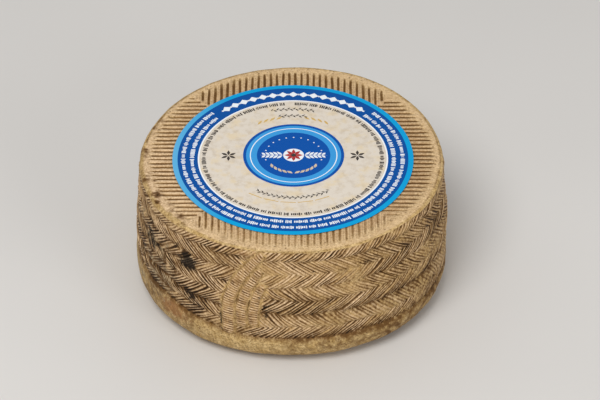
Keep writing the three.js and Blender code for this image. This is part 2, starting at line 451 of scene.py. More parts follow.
ACROSS_STRAND = 6
COLUMNS = ACROSS_STRAND * STRANDS
SHARES = np.array([0.04, 0.2, 0.5, 0.8, 0.96])
spans = zip(ROW_EDGES, ROW_EDGES[1:])
LEVELS = [ROW_EDGES[:1], *(low + (high - low) * SHARES for low, high in spans), ROW_EDGES[-1:]]
LEVELS = np.concatenate(LEVELS)

wheel = tube("cheese", COLUMNS, (len(LEVELS) - 1,))
column, step = places_on(wheel, COLUMNS, len(LEVELS) - 1)
level = LEVELS[step]
row = ((step - 1) // len(SHARES)).clip(0, rows - 1)
share = (level - ROW_EDGES[row]) / (ROW_EDGES[row + 1] - ROW_EDGES[row])
even_strand = column % COLUMNS / ACROSS_STRAND
strand = (even_strand + 0.5 * (row % 2)) % STRANDS
turn = (column / ACROSS_STRAND + aside(row, strand, share)) * 2 * math.pi / STRANDS + drift(level)
height = level + waver(turn, level) + tuck(even_strand, level)
smooth = rind_points(turn, height)
pressed = print_strength(smooth) * row_strength(row, turn)
sunk = print_depth(row, share, strand, level, pressed) + lumps(smooth)
set_points(wheel, rind_points(turn + shake(smooth), height, -sunk))
store(wheel, row=row + 1, share=share, strand=strand)
print("side:", triangles(wheel), "triangles")

# %% [markdown]
# ## Rims and faces
# Above and below the print the rind is smooth: a small rounded rim on top and a fat bulging one
# at the foot. Each starts as a ring of edges and is extruded along the outline and in to the
# middle of the face, as on a potter's wheel. The rings are coarser than the print, so the gap
# between them is bridged.

# %% Caps
CAP_COLUMNS = 400
FOOT_HEIGHTS = [20.9, 19.8, 18.6, 17.4, 16.2, 15, 13.8, 12.6, 11.4, 10.2, 9, 7.8, 6.6, 5.4,
                4.3, 3.3, 2.4, 1.6, 0.9, 0.4]
FOOT = [(h, float(outline_radius(h))) for h in FOOT_HEIGHTS] + [(0, r) for r in (80, 60, 30, 4)]
HEAD = [(h, float(outline_radius(h))) for h in (82.4, 82.9, 83.3, 83.7)]
HEAD += [(HEIGHT, r) for r in (88, 86.8, 85.6, 84, 66, 35, 4)]
FURROW_FOOT = 17.8
LUMPS_INNER = 78
SAME_HEIGHT = 0.005


def furrow_below(height):
    """The print's lowest furrow runs out on the smooth foot under it."""
    return DRAWN_IN[0] * ((height - FURROW_FOOT) / (ROW_EDGES[0] - FURROW_FOOT)).clip(0, 1) ** 2


def ringed(name, around, rings):
    """A disc made from a ring of edges that is extruded through rings of (height, radius)."""
    deselect_all()
    bpy.ops.mesh.primitive_circle_add(vertices=around, radius=1)
    made = bpy.context.object
    made.name = name
    in_edit_mode(made, "ALL", "EDGE")
    for _ in rings[1:]:
        bpy.ops.mesh.extrude_edges_move(TRANSFORM_OT_translate={"value": (0, 0, 1)})
    bpy.ops.mesh.edge_face_add()
    bpy.ops.object.mode_set(mode="OBJECT")
    raw = points_of(made) * MM
    heights, radii = np.array(rings)[np.round(raw[:, 2]).astype(int)].T
    return made, np.arctan2(raw[:, 0], -raw[:, 1]), heights, radii


def cap(name, rings):
    """One of the two caps, with the lumps of the side fading out towards its middle."""
    made, turn, height, radius = ringed(name, CAP_COLUMNS, rings)
    radius = radius * roundness(turn)
    points = np.stack([radius * np.sin(turn), -radius * np.cos(turn), height], axis=-1)
    near_side = ((radius - LUMPS_INNER) / 10).clip(0, 1)
    sunk = near_side * lumps(points) + furrow_below(height) * (height < 30)
    points[:, :2] *= (1 - sunk / radius)[:, None]
    set_points(made, points)
    return made


def bridge(obj, *heights):
    """Closes the strip between two rings of edges, found by their heights."""
    z = points_of(obj)[:, 2]
    at_ring = np.min([abs(z - h) for h in heights], axis=0) < SAME_HEIGHT
    edges = np.array([edge.vertices[:] for edge in obj.data.edges])
    level = abs(z[edges[:, 0]] - z[edges[:, 1]]) < SAME_HEIGHT
    in_edit_mode(obj, mode="EDGE")
    select_where(obj, "edges", at_ring[edges[:, 0]] & at_ring[edges[:, 1]] & level)
    bpy.ops.mesh.bridge_edge_loops()
    bpy.ops.object.mode_set(mode="OBJECT")


caps = [cap("foot", FOOT), cap("head", HEAD)]
make_active(wheel)
for piece in caps:
    piece.select_set(True)
bpy.ops.object.join()
bridge(wheel, FOOT[0][0], ROW_EDGES[0])
bridge(wheel, HEAD[0][0], ROW_EDGES[-1])
outward(wheel)
print("wheel:", triangles(wheel), "triangles")

# %% [markdown]
# ## The ribbed columns
# Where the band's ends overlap, three ribbed columns cross the print. They stand upright at the
# foot and curve over to the right. Four borders on the rind, written as a turn for each height,
# give their course.

# %% Course of the columns
COLUMN_BORDERS = np.radians([-26.3, -20.9, -16.2, -11.9])
COLUMN_BEND = 36
COLUMN_SWEEP = math.radians(14.9)
COLUMN_CURVE = 2.2
COLUMN_HEIGHTS = [(20.6, 81), (28, 70), (29.5, 60)]


def border_turn(border, height):
    """The turn of one of the four borders between the columns at a height."""
    climb = ((height - COLUMN_BEND) / (HEIGHT - COLUMN_BEND)).clip(min=0)
    return COLUMN_BORDERS[border] + COLUMN_SWEEP * climb**COLUMN_CURVE


print("the columns lean over by", round(math.degrees(COLUMN_SWEEP), 1), "degrees up to the face")

# %% [markdown]
# Each column is a closed block whose levels stay square to the column's middle line, five to a
# rib. A block starts as an upright tube. Some of its corners become the places across the
# column's front, and the last three form a root that is sunk into the rind, so that the block
# and the rind overlap well.

# %% Column blocks
RIB_PITCH = 1.68
COLUMN_WAVER = 0.0035
ACROSS = np.array([0, 0.04, 0.09, 0.14, 0.19, 0.24, 0.32, 0.41, 0.5,
                   0.59, 0.68, 0.76, 0.81, 0.86, 0.91, 0.96, 1])


def column_block(name, index, steps, form, root, margin=0.0, left=0.0, flare=0.0):
    """A closed block along a column. form gives how far it stands out, and what to store."""
    foot, head = COLUMN_HEIGHTS[index]
    height = np.linspace(foot + margin, head - margin, 300)
    middle = (border_turn(index, height) + border_turn(index + 1, height)) / 2
    run = np.gradient(middle) * outline_radius(height)
    rise = np.gradient(height)
    along = np.cumsum(np.hypot(run, rise))
    segments = (steps, round((along[-1] - along[0]) / RIB_PITCH))
    around = len(ACROSS) + 3
    made = tube(name, around, segments, "NGON")
    column, step = places_on(made, around, math.prod(segments))
    column = column % around
    distance = np.linspace(along[0], along[-1], math.prod(segments) + 1)[step]
    height = np.interp(distance, along, height)
    middle = np.interp(distance, along, middle)
    lean = np.interp(distance, along, np.arctan2(run, rise))
    middle = middle + COLUMN_WAVER * np.sin(0.29 * height + 2 * index) * np.sin(0.11 * height)
    radius = outline_radius(height)
    width = (border_turn(index + 1, height) - border_turn(index, height)) * radius * np.cos(lean)
    share = np.concatenate([ACROSS, [1 + flare, 0.5, -flare]])[column]
    low = (left or margin) / width
    right_part = share + (0.5 - share) * margin / width
    share = np.where(share < 0.5, low + share * (1 - 2 * low), right_part)
    aside = (share - 0.5) * width
    ribs = np.minimum(distance - along[0], along[-1] - distance), distance - along[0]
    out, marks = form(share, *ribs)
    out = np.where(column < len(ACROSS), out, -root)
    turn = middle + aside * np.cos(lean) / radius
    set_points(made, rind_points(turn, height - aside * np.sin(lean), out))
    store(made, **marks)
    outward(made)
    return made


print("a column's front has", len(ACROSS), "places across")

# %% [markdown]
# A column's front is a low crown with cosine ribs on it, smooth shoulders at its sides, and ends
# that sink away. A shallower block first clears a bed for it in the rind, so that the plait ends
# at the column's edge, and a Boolean modifier then joins the column and the rind.

# %% Ribs and beds
COLUMN_CROWN = 0.1
COLUMN_GROOVE = 0.75
COLUMN_END = 3.5
END_SUNK = 0.8
RIB_DEPTH = 0.6
RIB_SPAN = 0.62
LEVELS_PER_RIB = 5
BED_MARGIN, BED_OVERLAP = 0.25, -0.35
BED_ROOT, COLUMN_ROOT = 2.4, 4


def ribbed(share, from_end, distance):
    """A column's form across and along it: smooth shoulders, a crown, and ribs on the crown."""
    nearly_out = 1 - (from_end / COLUMN_END).clip(0, 1)
    edge = abs(2 * share - 1) + 0.5 * nearly_out**2
    shoulder = ((edge - 0.45) / 0.55).clip(0, 1.4)
    body = COLUMN_CROWN - END_SUNK * nearly_out**2 - (COLUMN_CROWN + COLUMN_GROOVE) * shoulder**1.5
    groove = (0.5 - 0.5 * np.cos(2 * math.pi * distance / RIB_PITCH)) ** 1.3
    on_crown = ((RIB_SPAN + 0.22 - edge) / 0.26).clip(0, 1)
    uneven = 0.62 + 0.38 * np.sin(distance * 0.9 + 1) * np.sin(distance * 0.23)
    marks = {"rib": groove * on_crown, "band": 1 - on_crown, "column": 1 + 0 * share}
    return body - RIB_DEPTH * groove * on_crown * uneven, marks


def cleared(share, *_):
    """The bed's form: level, and just above the strands."""
    return COLUMN_CROWN + STRAND_DEPTH + 0 * share, {}


for index in range(len(COLUMN_HEIGHTS)):
    left = BED_MARGIN if index == 0 else BED_OVERLAP
    bed = column_block("bed", index, 1, cleared, BED_ROOT, margin=BED_MARGIN, left=left)
    cut(wheel, bed)
for index in range(len(COLUMN_HEIGHTS)):
    column = column_block("column", index, LEVELS_PER_RIB, ribbed, COLUMN_ROOT, flare=0.06)
    cut(wheel, column, "UNION")
print("wheel with its columns:", triangles(wheel), "triangles")

# %% [markdown]
# ## The ridged faces
# Ridged boards press both faces. The ridges run in four directions, one for each quarter, and
# meet on the diagonals. A groove is cheapest as a long bar that is cut away, so one bar with a
# rounded section is made, copied to each groove's place, and all of them are cut at once. The
# bars thin out towards the rim, where the boards pressed less. No two are quite alike: each
# wanders, and has its own width, depth and end.

# %% Face grooves
FACE_PITCH = 3.75
SECTOR_GAP = 1.4
RIDGES_OUTER = 86.6
RIDGES_INNER = 67
UNDER_OUTER = 77
SHORTEST = 4
RUN_OUT = 4.5
GROOVE_WAVER = 0.13
BAR = np.array([(0, 0.6), (-1.5, 0.3), (-1.05, -0.04), (-0.75, -0.26), (-0.4, -0.6),
                (0, -0.75), (0.4, -0.6), (0.75, -0.26), (1.05, -0.04), (1.5, 0.3)])


def copies(name, pattern, places):
    """One mesh with a copy of pattern for each set of places of its vertices."""
    faces = [tuple(face.vertices) for face in pattern.data.polygons]
    count = len(pattern.data.vertices)
    moved = [tuple(v + i * count for v in face) for i in range(len(places)) for face in faces]
    mesh = bpy.data.meshes.new(name)
    mesh.from_pydata(np.vstack(places) * MM, [], moved)
    made = bpy.data.objects.new(name, mesh)
    bpy.context.collection.objects.link(made)
    bpy.data.objects.remove(pattern)
    return made


def face_bars(name, segments, outer, inner, base, up):
    """Bars for the grooves of one face. up is 1 for the upper face and -1 for the underside."""
    pattern = tube("bar", len(BAR), (segments,), "NGON")
    column, step = places_on(pattern, len(BAR), segments)
    section = BAR[column % len(BAR)]
    share = step / segments
    places = []
    asides = (np.arange(-16, 16) + 0.5) * FACE_PITCH
    for quarter in range(4):
        cos, sin = math.cos(quarter * math.pi / 2), math.sin(quarter * math.pi / 2)
        for aside in asides:
            end = math.sqrt(outer**2 - aside**2) + rng.uniform(-0.9, 0.5)
            under_label = math.sqrt(max(0, inner**2 - aside**2))
            start = max(under_label, abs(aside) + SECTOR_GAP)
            if end - start < SHORTEST:
                continue
            along = start + (end - start) * share
            runs_out = ((end - along) / RUN_OUT).clip(0, 1) ** 0.7
            wobble = GROOVE_WAVER * np.sin(along * 0.31 + rng.uniform(0, 6)) + rng.uniform(-0.12, 0.12)
            across = aside + wobble + section[:, 0] * rng.uniform(0.85, 1.15)
            deep = rng.uniform(0.8, 1.1)
            sunk = section[:, 1] * deep * (0.1 + 0.9 * runs_out)
            rise = np.where(section[:, 1] < 0, sunk, section[:, 1]) + 0.12 * (1 - runs_out)
            places.append(np.stack([along * cos - across * sin, along * sin + across * cos,
                                    base + up * rise], axis=-1))
    made = copies(name, pattern, places)
    outward(made)
    return made


cut(wheel, face_bars("upper grooves", 5, RIDGES_OUTER, RIDGES_INNER, HEIGHT, 1))
cut(wheel, face_bars("lower grooves", 7, UNDER_OUTER, 0, 0, -1))
print("wheel with its ridges:", triangles(wheel), "triangles")

# %% [markdown]
# ## The print's borders
# The band wasn't wrapped level: its lower border climbs at the left and dips at the right, and
# its upper one nearly reaches the face at the front. It is easiest to build the print level and
# to lift or lower it afterwards. Every vertex near a border moves up or down by a rule that
# fades out above and below, and keeps to the outline.

# %% Borders
# Degrees from the front, and height.
UPPER_BORDER = np.array([
    (-180, 82), (-90, 81.5), (-66, 81.7), (-50, 82.2), (-38, 82.7), (-28, 83), (0, 83.2),
    (15, 82.7), (25, 82.8), (33, 83.3), (48, 83.3), (58, 82.6), (75, 82), (180, 82),
])
BORDER = np.array([
    (-180, 21.5), (-110, 24), (-75, 28), (-53, 27.5), (-42, 25), (-32, 22.8), (-24, 20.9),
    (-12, 20.4), (30, 20.3), (45, 18.8), (58, 17.4), (80, 17), (120, 19), (180, 21.5),
])


def border_height(turn, border=BORDER):
    return np.interp(np.degrees(turn), border[:, 0], border[:, 1])


points = points_of(wheel)
turn = np.arctan2(points[:, 0], -points[:, 1])
fade = np.minimum((points[:, 2] - 7) / 12, (48 - points[:, 2]) / 24).clip(0, 1)
lifted = points[:, 2] + (border_height(turn) - ROW_EDGES[0]) * fade**2 * (3 - 2 * fade)
fade = np.minimum((points[:, 2] - 62) / 20, (HEIGHT - points[:, 2]) / 2).clip(0, 1)
lifted += (border_height(turn, UPPER_BORDER) - ROW_EDGES[-1]) * fade
wider = outline_radius(lifted) - outline_radius(points[:, 2])
moved = abs(lifted - points[:, 2]) > 1e-6
points[:, :2] += np.column_stack([np.sin(turn), -np.cos(turn)]) * (wider * moved)[:, None]
points[:, 2] = lifted
set_points(wheel, points)
print("the border moves by", round(np.ptp(BORDER[:, 1]), 1), "mm between its lowest and highest")

# %% [markdown]
# ## Wear, and the wheel's place
# Handling rounds things unevenly, so every vertex moves in by a few hundredths to tenths of a
# millimetre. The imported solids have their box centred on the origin, so the wheel is moved by
# the middle of its own smooth form.

# %% Wear and place
points = points_of(wheel)
inward = points * (1, 1, 0)
reach = np.linalg.norm(inward, axis=1).clip(min=1)
on_wall = ((points[:, 2] - 1) / 3).clip(0, 1) * ((HEIGHT - 0.4 - points[:, 2]) / 1.5).clip(0, 1)
worn = 0.16 + 0.16 * waves(points, 5, 3, seed=4).clip(-1, 1)
points -= inward / reach[:, None] * (on_wall * worn)[:, None]
on_top = (points[:, 2] > HEIGHT - 1.5) & (reach < 89)
points[:, 2] -= on_top * (0.12 + 0.12 * waves(points, 6, 2, seed=5)).clip(0, 0.4)
underneath = (points[:, 2] < 1.5) & (reach < 78)
points[:, 2] += underneath * (0.1 * waves(points, 9, 2, seed=6)).clip(0, 0.2)

around = np.linspace(0, 2 * math.pi, 720, endpoint=False)
widest = rind_points(around, 18.0)
MIDDLE = np.append((widest.min(axis=0) + widest.max(axis=0))[:2] / 2, 0)
set_points(wheel, points - MIDDLE)
make_active(wheel)
bpy.ops.object.shade_smooth_by_angle(angle=math.radians(60))
print("the wheel moves by", (-MIDDLE[:2]).round(2), "mm")

# %% [markdown]
# ## Where the colours go
# The stains follow the relief: brown and mould gather in the grooves, with painted shade in some
# grooves and furrows, the crests are pale, partly wiped and partly painted highlight, and the
# smooth rims are buttery. Those are facts about places, so they are worked out for each vertex and
# stored as attributes on the mesh. The material only mixes paints by them. The first thing is to
# know which part of the rind a vertex lies on.

# %% Places on the side
FACE_SKIN = 1.6
FACE_REACH, UNDER_REACH = 89, 78.2
FOOT_TOP, RIM_FOOT, RIM_REACH = 40, 75, 84

points = points_of(wheel) + MIDDLE
reach = np.linalg.norm(points[:, :2], axis=1)
turn = np.arctan2(points[:, 0], -points[:, 1])
height = points[:, 2]
row = np.round(kept(wheel, "row")).astype(int) - 1
share, strand = kept(wheel, "share"), kept(wheel, "strand")
rib, band, in_column = kept(wheel, "rib"), kept(wheel, "band"), kept(wheel, "column") > 0.02
on_print = (row >= 0) & (row < rows) & ~in_column
row = row.clip(0, rows - 1)
crest = np.round(strand).astype(int) % STRANDS
groove = np.floor(strand).astype(int) % STRANDS
smooth_rind = ~on_print & ~in_column
on_top = height > HEIGHT - FACE_SKIN
on_face = on_top & (reach < FACE_REACH)
under = (height < FACE_SKIN) & (reach < UNDER_REACH)
on_foot = smooth_rind & (height < FOOT_TOP) & ~under
on_rim = smooth_rind & (height > RIM_FOOT) & (reach > RIM_REACH)
strength = print_strength(points) * row_strength(row, turn)


def near(at_turn, at_height, turn_size, height_size):
    """1 at a place on the side, fading out over the sizes in degrees and millimetres."""
    away = np.degrees(np.angle(np.exp(1j * (turn - math.radians(at_turn))))) / turn_size
    return np.exp(-(away**2) - ((height - at_height) / height_size) ** 2)


def together(spots):
    """Soft spots added up. Each has its strength first, and then what near takes."""
    return sum(strongest * near(*place) for strongest, *place in spots)


print("vertices on the print:", on_print.sum(), "in the columns:", in_column.sum())

# %% [markdown]
# Stains are patchy at every size. Three noises break them up: one of a strand's size, one of a
# few strands, and one of a hand's breadth. Darker stretches and dark clusters of grooves are
# lists of soft spots, each with its strength, its turn in degrees, its height and its two sizes.

# %% How the stains are broken up
DARKER_SPOTS = [
    (0.6, 6, 50, 11, 9), (1.0, -34, 34, 6, 8), (0.9, -28, 74, 6, 5), (1.3, -41, 62, 6, 9),
    (0.8, -50, 40, 9, 12), (0.7, -66, 66, 8, 10), (0.5, 170, 45, 25, 20), (0.6, 95, 60, 14, 10),
]
DARK_CLUSTERS = [
    (0.8, 30, 71, 4, 2.5), (0.9, 48, 68.5, 3.5, 4), (0.9, 64, 66, 6, 8),
    (0.6, 37, 40, 5, 3.5), (0.5, 73, 64, 5, 5), (0.5, 17, 49, 5, 3),
]

broken = (0.55 + 1.2 * waves(points, 3, 2, seed=8)).clip(0, 1)
blotch = (1.7 * waves(points, 6, 3, seed=21)).clip(0, 1)
patchy = (0.5 + 1.0 * waves(points, 24, 3, seed=9)).clip(0, 1)
left_side = near(-58, 50, 32, 36)
right_side = near(56, 45, 34, 60)
rubbed = worn_patch(points)
darker = patchy + 0.35 * left_side + together(DARKER_SPOTS)
clusters = together(DARK_CLUSTERS)
print("darker stretches average", darker.mean().round(2))

# %% [markdown]
# Two attributes carry the brown. The first is how deep in a groove a place lies, whether the
# groove is one of the plait, a rib's or a ridge's. The second is how much stain that groove
# holds. The top face's grooves get painted shade instead, and the underside's are darkened evenly.
# Each groove of the plait has its own share, and its bunch adds some.

# %% Grooves, their stain and painted shade
FACE_LEVEL, FACE_GROOVE = 0.13, 0.5
UNDER_LEVEL, UNDER_GROOVE = 0.2, 0.55

face_depth = ((HEIGHT - FACE_LEVEL - height) / FACE_GROOVE).clip(0, 1)
under_depth = ((height - UNDER_LEVEL) / UNDER_GROOVE).clip(0, 1)
lines = np.where(on_print, beside_groove(strand), rib)
lines = np.where(on_face, face_depth, lines)
lines = np.where(under, under_depth, lines)

of_groove = 0.3 + 0.6 * groove_stain[row, groove] ** 1.4
of_groove += 0.5 * of_bunch(bunch_stained, row, crest) ** 1.5
print_stain = of_groove * (0.4 + 0.6 * broken) * (0.6 + 0.5 * darker) * (0.2 + 0.8 * strength)
print_stain = print_stain * (0.35 + 0.65 * open_end(row, groove, share))
print_stain += 0.65 * left_side * blotch + 0.7 * clusters * (0.3 + 0.9 * broken)

# The top face's grooves get painted shade by their depth, lighter at the front and darker at the right.
lighter_front = near(0, HEIGHT, 42, 30)
darker_right = near(75, HEIGHT, 45, 30)
face_groove_shade = (0.32 + 0.04 * darker_right - 0.19 * lighter_front) * (0.6 + 0.5 * broken)
column_stain = (0.08 + 0.42 * broken**2) * in_column
stain_and_shade = np.where(on_print, print_stain, column_stain)
stain_and_shade = np.where(on_face, face_groove_shade, stain_and_shade)
# The underside's grooves are darkened evenly by their depth.
stain_and_shade = np.where(under, 0.55, stain_and_shade)
print("stain_and_shade", stain_and_shade.mean().round(2))

# %% [markdown]
# Dirt lies on the rind whether there is a groove or not. It gathers where the side is drawn in
# between the rows, at the strands' ends, and in the furrow between the print and the foot. In the
# furrows the darkening is also painted shade.

# %% Dirt and painted shade
ends = np.abs(2 * share - 1) ** 6
furrow_share = drawn_in(row, share) / DRAWN_IN[0]
# The drawn-in furrows between the rows darken as dirt and as painted shade.
print_dirt_and_shade = furrow_share * 0.36 * (0.5 + 0.6 * broken) + 0.16 * ends * darker
print_dirt_and_shade += 0.14 * place_in_bunch[row, crest] * darker + 0.3 * clusters * broken
print_dirt_and_shade += 0.07 * right_side + rubbed * (0.02 + 1.2 * waves(points, 4, 3, seed=26))

column_dirt = 0.03 + 0.2 * band * broken
column_dirt += 0.22 * (0.1 + 1.2 * waves(points, 5, 3, seed=28)).clip(0, 1)

furrow = np.exp(-(((border_height(turn) - height - 0.4) / 2.0) ** 2))
# The furrow above the foot darkens as dirt and as painted shade.
foot_dirt_and_shade = 0.26 * broken * patchy + (0.28 - 0.14 * near(52, 20, 34, 30)) * furrow
foot_dirt_and_shade += (0.14 + 0.2 * broken) * near(52, 14, 34, 30)
foot_dirt_and_shade += (0.4 + 0.6 * broken) * 0.22 * near(-58, 18, 26, 14)
rim_dirt = near(-72, HEIGHT, 42, 12) * (0.12 + 0.9 * broken * blotch)

dirt_and_shade = np.where(on_print, print_dirt_and_shade, column_dirt * in_column)
# The right of the top face is darker.
dirt_and_shade += on_foot * foot_dirt_and_shade + on_rim * rim_dirt + on_face * 0.07 * darker_right
print("dirt_and_shade", dirt_and_shade.mean().round(2))

# %% [markdown]
# Mould grew in black, grey-green and rusty patches, most of them at the left, where the wheel was
# handled least. The black fills whole grooves in some places and only their bottoms in others,
# so there are two lists for it.

# %% Mould and rust
BLACK_SPOTS = [
    (1.3, -41, 62, 3.4, 6), (0.75, -39, 37, 3.5, 4), (0.6, -60, 58, 6, 7), (0.5, -47, 70, 4, 4),
    (0.45, 8, 71, 1.8, 1.8), (0.35, 28, 70, 1.8, 1.6), (0.8, 151, 30, 5, 5), (0.5, 98, 66, 4, 5),
    (0.4, -150, 60, 5, 8), (0.95, -26.4, 31, 0.45, 11), (0.9, -9.6, 42, 0.9, 7), (0.5, -12, 52, 1, 4),
]
BLACK_IN_GROOVES = [
    (0.95, -34.7, 32.8, 2.4, 2.8), (0.9, -40.7, 40.3, 2.2, 3.2), (0.8, -27, 72.7, 1.6, 2),
    (0.3, -43, 57, 3, 5), (0.75, -66, 57.5, 4, 7), (0.85, -48.8, 44.7, 3, 4.5),
    (0.7, -75.4, 65.6, 4, 7), (0.7, -33, 39.7, 1.8, 3), (0.7, -55, 48, 2.5, 3.5), (0.7, -58, 36, 3, 4),
]
MOULD_SPOTS = [(0.6, -55, 36, 7, 6), (0.4, -80, 20, 25, 14), (0.8, -57, 34, 5, 9),
               (0.6, 140, 60, 16, 14), (0.4, 95, 20, 12, 8)]
RUST_SPOTS = [(0.95, -48, 20, 9, 7), (0.4, -20, 80, 10, 3), (0.5, -160, 15, 14, 6)]

in_grooves = 0.1 + 0.8 * beside_groove(strand) * on_print
black = together(BLACK_SPOTS) + together(BLACK_IN_GROOVES) * in_grooves
mould = 1.1 * near(-64, 50, 18, 24) * (0.35 + 0.9 * waves(points, 11, 3, seed=23)).clip(0, 1)
mould += 0.75 * rubbed * (0.5 + 1.4 * waves(points, 5, 2, seed=27)).clip(0, 1) + together(MOULD_SPOTS)
rusty = (0.4 + 1.3 * waves(points, 11, 3, seed=29)).clip(0, 1)
rust = 0.36 * on_print * near(-28, 48, 34, 40) * rusty + together(RUST_SPOTS)
print("black", black.mean().round(3), "mould", mould.mean().round(3), "rust", rust.mean().round(3))

# %% [markdown]
# The strands' crests, the ribs and the ridges are pale, partly as rind that is wiped and dries
# pale and partly as painted highlight, and the foot's lowest edge has a painted highlight. The
# smooth rims and the print's faint places keep a buttery yellow. Two more attributes say where the
# material may draw the ridges' painted shade and the print's roughness.

# %% Pale crests, painted highlights and butter
# Crests are pale partly as wiped rind and partly as painted highlight.
wiped_and_highlight = (1 - beside_groove(strand)) ** 0.8 * (0.3 + 0.7 * strand_pale[row, crest])
print_pale_and_highlight = wiped_and_highlight * (0.4 + 0.6 * strength) + 0.22 * near(-54, 50, 26, 36) - 0.13 * near(52, 45, 34, 60)
column_pale_and_highlight = (0.38 + 0.45 * broken) * (1 - rib) * in_column * (1 - band)
face_pale_and_highlight = (0.5 + 0.35 * near(-75, HEIGHT, 38, 30)) * (1 - face_depth)
pale_and_highlight = np.where(on_print, print_pale_and_highlight, column_pale_and_highlight)
pale_and_highlight = np.where(on_face, face_pale_and_highlight, pale_and_highlight)
pale_and_highlight = np.where(under, 0.4 * (1 - under_depth), pale_and_highlight)
# The lowest 4 mm of the foot get a painted highlight of light from the floor.
pale_and_highlight = np.where(on_foot, 0.65 * ((4 - height) / 4).clip(0, 1), pale_and_highlight)

print_butter = 0.35 * ends + 0.3 * (1 - strength) + 0.4 * furrow_share
print_butter += 0.15 * near(52, 45, 30, 45) + 0.25 * (strand_pale[row, crest] * 7 % 1)
butter = np.where(on_print, print_butter, 0.9 * ((reach > 80) & smooth_rind) + 0.6 * band * in_column)
print("pale_and_highlight", pale_and_highlight.mean().round(2), "butter", butter.mean().round(2))

# %% [markdown]
# The results go onto the mesh under the names that the material reads. What the relief needed
# and the material doesn't is removed again, so that the finished piece carries only its colours.

# %% Storing the places
printed_here = np.where(on_print, 0.75 + 0.65 * near(58, 45, 34, 60), 0.4 * in_column)
# ridged marks where the material paints the ridges' shade.
ridged = ((86 - reach) / 3).clip(0, 1) * on_top + ((76 - reach) / 4).clip(0, 1) * under
stored_shares = dict(lines=lines, stain_and_shade=stain_and_shade, dirt_and_shade=dirt_and_shade, black=black, pale_and_highlight=pale_and_highlight, butter=butter,
                     mould=mould, rust=rust, ridged=ridged, printed=printed_here)
for name, values in stored_shares.items():
    store(wheel, **{name: values.clip(0, 1.5)})
for name in ("row", "share", "strand", "rib", "band", "column"):
    wheel.data.attributes.remove(wheel.data.attributes[name])
print("stored:", ", ".join(stored_shares))

# %% [markdown]
# ## The rind's material
# A material is a tree of nodes. A few helpers keep it short to write: each adds nodes and returns
# an output to go on with. The noises take object coordinates in metres, so a noise with a scale
# of 400 has features of about 2.5 mm.

# %% Node helpers
def paint(red, green, blue):
    """A colour from 0-255 screen values, as the linear values that nodes use."""
    shares = np.array([red, green, blue]) / 255
    linear = np.where(shares <= 0.04045, shares / 12.92, ((shares + 0.055) / 1.055) ** 2.4)
    return (*linear.tolist(), 1.0)


def node(tree, kind, inputs=(), **settings):
    made = tree.nodes.new("ShaderNode" + kind)
    for name, value in settings.items():
        setattr(made, name, value)
    for key, value in dict(inputs).items():
        if isinstance(value, bpy.types.NodeSocket):
            tree.links.new(value, made.inputs[key])
        else:
            made.inputs[key].default_value = value
    return made


def mixed(tree, share, first, second, blend="MIX"):
    inputs = {0: share, 6: first, 7: second}
    return node(tree, "Mix", inputs, data_type="RGBA", blend_type=blend).outputs[2]


def stretched(tree, value, low, high, to_low=0.0, to_high=1.0):
    inputs = {"Value": value, "From Min": low, "From Max": high, "To Min": to_low, "To Max": to_high}
    return node(tree, "MapRange", inputs).outputs[0]


def calculated(tree, operation, first, second):
    return node(tree, "Math", {0: first, 1: second}, operation=operation).outputs[0]


def times(tree, first, second):
    return calculated(tree, "MULTIPLY", first, second)


def plus(tree, total, *values):
    for value in values:
        total = calculated(tree, "ADD", total, value)
    return total


def noisy(tree, scale, detail=3.0, roughness=0.55):
    where = node(tree, "TexCoord").outputs["Object"]
    inputs = {"Vector": where, "Scale": scale, "Detail": detail, "Roughness": roughness}
    return node(tree, "TexNoise", inputs).outputs[0]


def new_material(name, **constants):
    made = bpy.data.materials.new(name)
    made.use_nodes = True
    shader = made.node_tree.nodes["Principled BSDF"]
    for key, value in constants.items():
        shader.inputs[key.replace("_", " ")].default_value = value
    return made, made.node_tree, shader


print("node helpers are ready")

# %% [markdown]
# The rind's paints are the curd's tan, the rims' butter, the crests' cream, which also gives their
# painted highlight, mould and rust. Each is mixed from two colours by noise, so that no patch is
# one flat colour. The rind also has small round pits that crowd together here and there. A
# Voronoi pattern draws their mouths.

# %% Rind paints
rind, tree, shader = new_material("rind", Metallic=0.0, Specular_IOR_Level=0.12)

broad = stretched(tree, noisy(tree, 45), 0.35, 0.68)
patches = stretched(tree, noisy(tree, 170, 4.0), 0.34, 0.7)
fine = stretched(tree, noisy(tree, 900, 5.0, 0.65), 0.32, 0.7)
ragged = stretched(tree, noisy(tree, 260, 5.0, 0.7), 0.3, 0.7, -0.5, 0.5)
grain = stretched(tree, noisy(tree, 480, 5.0, 0.7), 0.38, 0.66)
dots = stretched(tree, noisy(tree, 1050, 2.0), 0.55, 0.65, 0.0, 0.68)
specks = stretched(tree, noisy(tree, 1300, 3.0), 0.6, 0.7)
moved = node(tree, "VectorMath", {0: node(tree, "TexCoord").outputs["Object"], 1: (1, 1, 1.4)},
             operation="MULTIPLY").outputs[0]
pits = node(tree, "TexVoronoi", {"Vector": moved, "Scale": 420.0, "Randomness": 1.0})
crowd = stretched(tree, noisy(tree, 110, 3.0), 0.4, 0.62)
pit_mouth = times(tree, stretched(tree, pits.outputs["Distance"], 0.1, 0.3, 1.0, 0.0), crowd)

curd = mixed(tree, broad, paint(176, 138, 86), paint(156, 117, 67))
curd = mixed(tree, patches, curd, paint(186, 149, 98))
butter_paint = mixed(tree, patches, paint(244, 214, 158), paint(212, 176, 112))
butter_paint = mixed(tree, times(tree, grain, 0.85), butter_paint, paint(150, 120, 68))
butter_paint = mixed(tree, dots, butter_paint, paint(112, 82, 42))
# The crests' cream also serves as their painted highlight.
pale_and_highlight_paint = mixed(tree, fine, paint(242, 212, 172), paint(220, 184, 140))
mould_paint = mixed(tree, fine, paint(188, 176, 146), paint(108, 96, 70))
rust_paint = mixed(tree, patches, paint(146, 94, 56), paint(170, 118, 72))
print("rind paints:", len(tree.nodes), "nodes")

